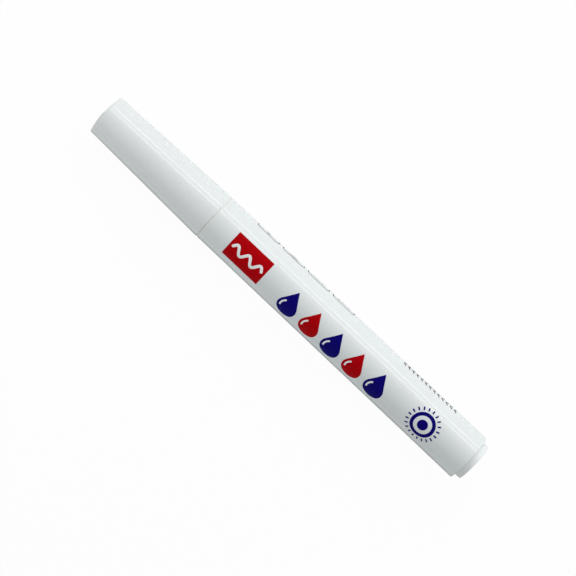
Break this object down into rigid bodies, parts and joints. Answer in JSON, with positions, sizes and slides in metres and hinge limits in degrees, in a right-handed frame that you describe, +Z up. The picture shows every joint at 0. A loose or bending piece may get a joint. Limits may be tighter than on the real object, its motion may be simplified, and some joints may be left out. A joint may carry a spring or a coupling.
{
  "type": "paint marker",
  "caption": "Round paint marker with a push-on tapered cap, a sprung fibre nib that opens a pump valve, a paint barrel with a mixing ball and a pressed-in rear plug.",
  "frame": {"origin": "on the surface that the marker lies on, under the middle of its length", "axes": "+X along the marker from the capped writing end to the rear plug, +Z up, +Y across"},
  "size_m": [0.1366, 0.014, 0.0141],
  "materials": {
    "barrel_plastic": "smooth moulded white polypropylene, printed",
    "cap_plastic": "smooth moulded white polypropylene",
    "plug_plastic": "satin white polyethylene",
    "natural_plastic": "satin cream polypropylene",
    "soft_plastic": "waxy soft polyethylene",
    "valve_plastic": "satin acetal",
    "nib_fibre": "bonded fibre, cut and ground to a bullet point",
    "spring_steel": "drawn stainless wire",
    "ball_steel": "polished steel"
  },
  "bodies": {
    "marker_body": {"barrel": "barrel_plastic", "end_plug": "plug_plastic", "front_section": "natural_plastic", "valve_seat": "soft_plastic", "valve_cage": "valve_plastic", "valve_spring": "spring_steel"},
    "cap": {"cap": "cap_plastic", "inner_cap": "soft_plastic"},
    "nib": {"nib": "nib_fibre"},
    "valve_stem": {"valve_stem": "valve_plastic"},
    "mixing_ball": {"mixing_ball": "ball_steel"}
  },
  "joints": [
    {"name": "cap_pull", "type": "slide", "parent": "marker_body", "child": "cap", "axis": [-1, 0, 0], "range_m": [0, 0.05]},
    {"name": "nib_press", "type": "slide", "parent": "marker_body", "child": "nib", "axis": [1, 0, 0], "range_m": [0, 0.0025], "stiffness_N_per_m": 300, "springref_m": -0.002},
    {"name": "valve_lift", "type": "slide", "parent": "marker_body", "child": "valve_stem", "axis": [1, 0, 0], "range_m": [0, 0.0025], "deforming": ["valve_spring"]},
    {"name": "ball_roll", "type": "slide", "parent": "marker_body", "child": "mixing_ball", "axis": [-1, 0, 0], "range_m": [0, 0.05925]}
  ],
  "couplings": [
    {"joint": "valve_lift", "follows": "nib_press", "ratio": 1}
  ]
}
